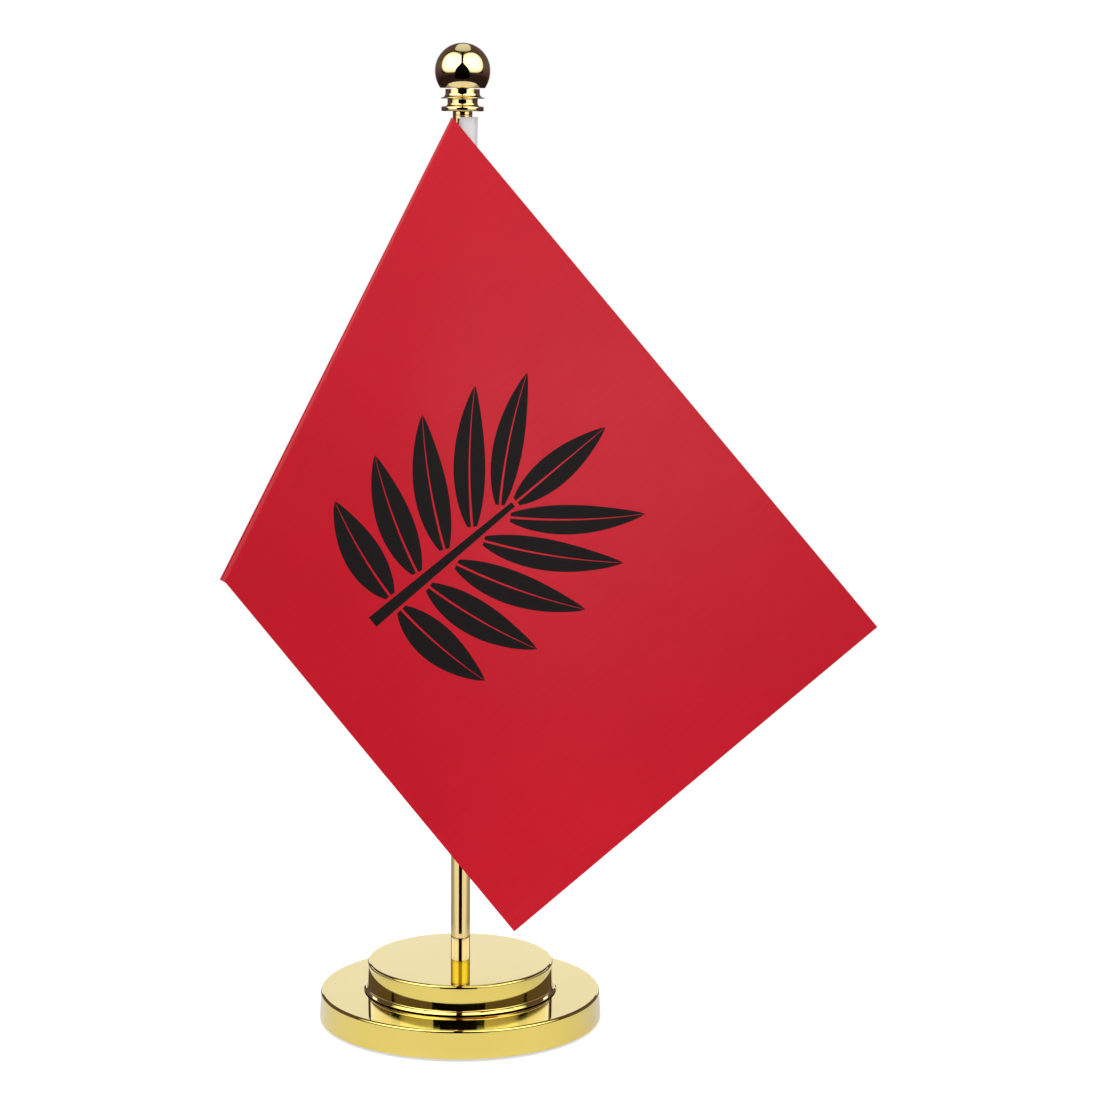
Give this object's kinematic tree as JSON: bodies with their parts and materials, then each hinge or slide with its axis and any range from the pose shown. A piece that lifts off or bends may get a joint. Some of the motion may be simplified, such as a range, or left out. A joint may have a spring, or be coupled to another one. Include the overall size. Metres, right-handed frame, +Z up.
{
  "type": "desk flag stand",
  "caption": "Polished gold desk flag stand with a stepped round base, a thin pole with a ball finial and a satin flag that hangs from a sleeve.",
  "frame": {"origin": "centre of the flat underside of the base, on the pole's axis", "axes": "+Z up the pole, +X to the side that the flag's long corner points to, -Y out of the face that the flag shows"},
  "size_m": [0.2085, 0.0934, 0.3198],
  "materials": {
    "lower_tier_shell": "polished gold plating",
    "upper_tier_shell": "polished gold plating",
    "pole_tube": "polished gold plating",
    "finial_ball": "polished gold plating",
    "finial_neck": "polished gold plating",
    "ballast_disc": "as cast",
    "bottom_plate": "zinc plated",
    "base_pad": "black foam",
    "base_bolt": "zinc plated",
    "spring_washer": "zinc plated",
    "flat_washer": "zinc plated",
    "clamp_nut": "zinc plated",
    "tier_spacer": "moulded",
    "lower_pole_insert": "turned",
    "upper_pole_insert": "turned",
    "finial_washer": "moulded",
    "finial_stud": "zinc plated",
    "finial_ball_nut": "zinc plated",
    "stop_ring": "moulded",
    "flag_sleeve": "white satin",
    "flag_cloth": "red satin with a black printed leaf ornament",
    "seam_thread": "sewing thread"
  },
  "bodies": {
    "base": {"lower_tier_shell": "lower_tier_shell", "upper_tier_shell": "upper_tier_shell", "ballast_disc": "ballast_disc", "bottom_plate": "bottom_plate", "base_pad": "base_pad", "base_bolt": "base_bolt", "spring_washer": "spring_washer", "flat_washer": "flat_washer", "clamp_nut": "clamp_nut", "tier_spacer": "tier_spacer"},
    "pole_foot": {"lower_pole_insert": "lower_pole_insert"},
    "pole": {"pole_tube": "pole_tube", "upper_pole_insert": "upper_pole_insert", "finial_washer": "finial_washer"},
    "stop_ring": {"stop_ring": "stop_ring"},
    "flag": {"flag_sleeve": "flag_sleeve", "flag_cloth": "flag_cloth", "seam_thread": "seam_thread"},
    "finial_screw": {"finial_stud": "finial_stud"},
    "finial": {"finial_neck": "finial_neck", "finial_ball": "finial_ball", "finial_ball_nut": "finial_ball_nut"}
  },
  "joints": [
    {"name": "pole_lift", "type": "slide", "parent": "base", "child": "pole_foot", "axis": [0, 0, 1], "range_m": [0, 0.0084]},
    {"name": "pole_turn", "type": "hinge", "parent": "pole_foot", "child": "pole", "pos_m": [0, 0, 0.0203], "axis": [0, 0, 1], "range_deg": [0, 4320]},
    {"name": "flag_slide", "type": "slide", "parent": "pole", "child": "stop_ring", "axis": [0, 0, 1], "range_m": [-0.02, 0]},
    {"name": "flag_swivel", "type": "hinge", "parent": "stop_ring", "child": "flag", "pos_m": [0, 0, 0.1465], "axis": [0, 0, 1], "continuous": true},
    {"name": "finial_lift", "type": "slide", "parent": "pole", "child": "finial_screw", "axis": [0, 0, 1], "range_m": [0, 0.007]},
    {"name": "finial_turn", "type": "hinge", "parent": "finial_screw", "child": "finial", "pos_m": [0, 0, 0.29825], "axis": [0, 0, 1], "range_deg": [0, 3600]}
  ],
  "couplings": [
    {"joint": "pole_turn", "follows": "pole_lift", "rad_per_m": 8975.9},
    {"joint": "finial_turn", "follows": "finial_lift", "rad_per_m": 8975.9}
  ]
}
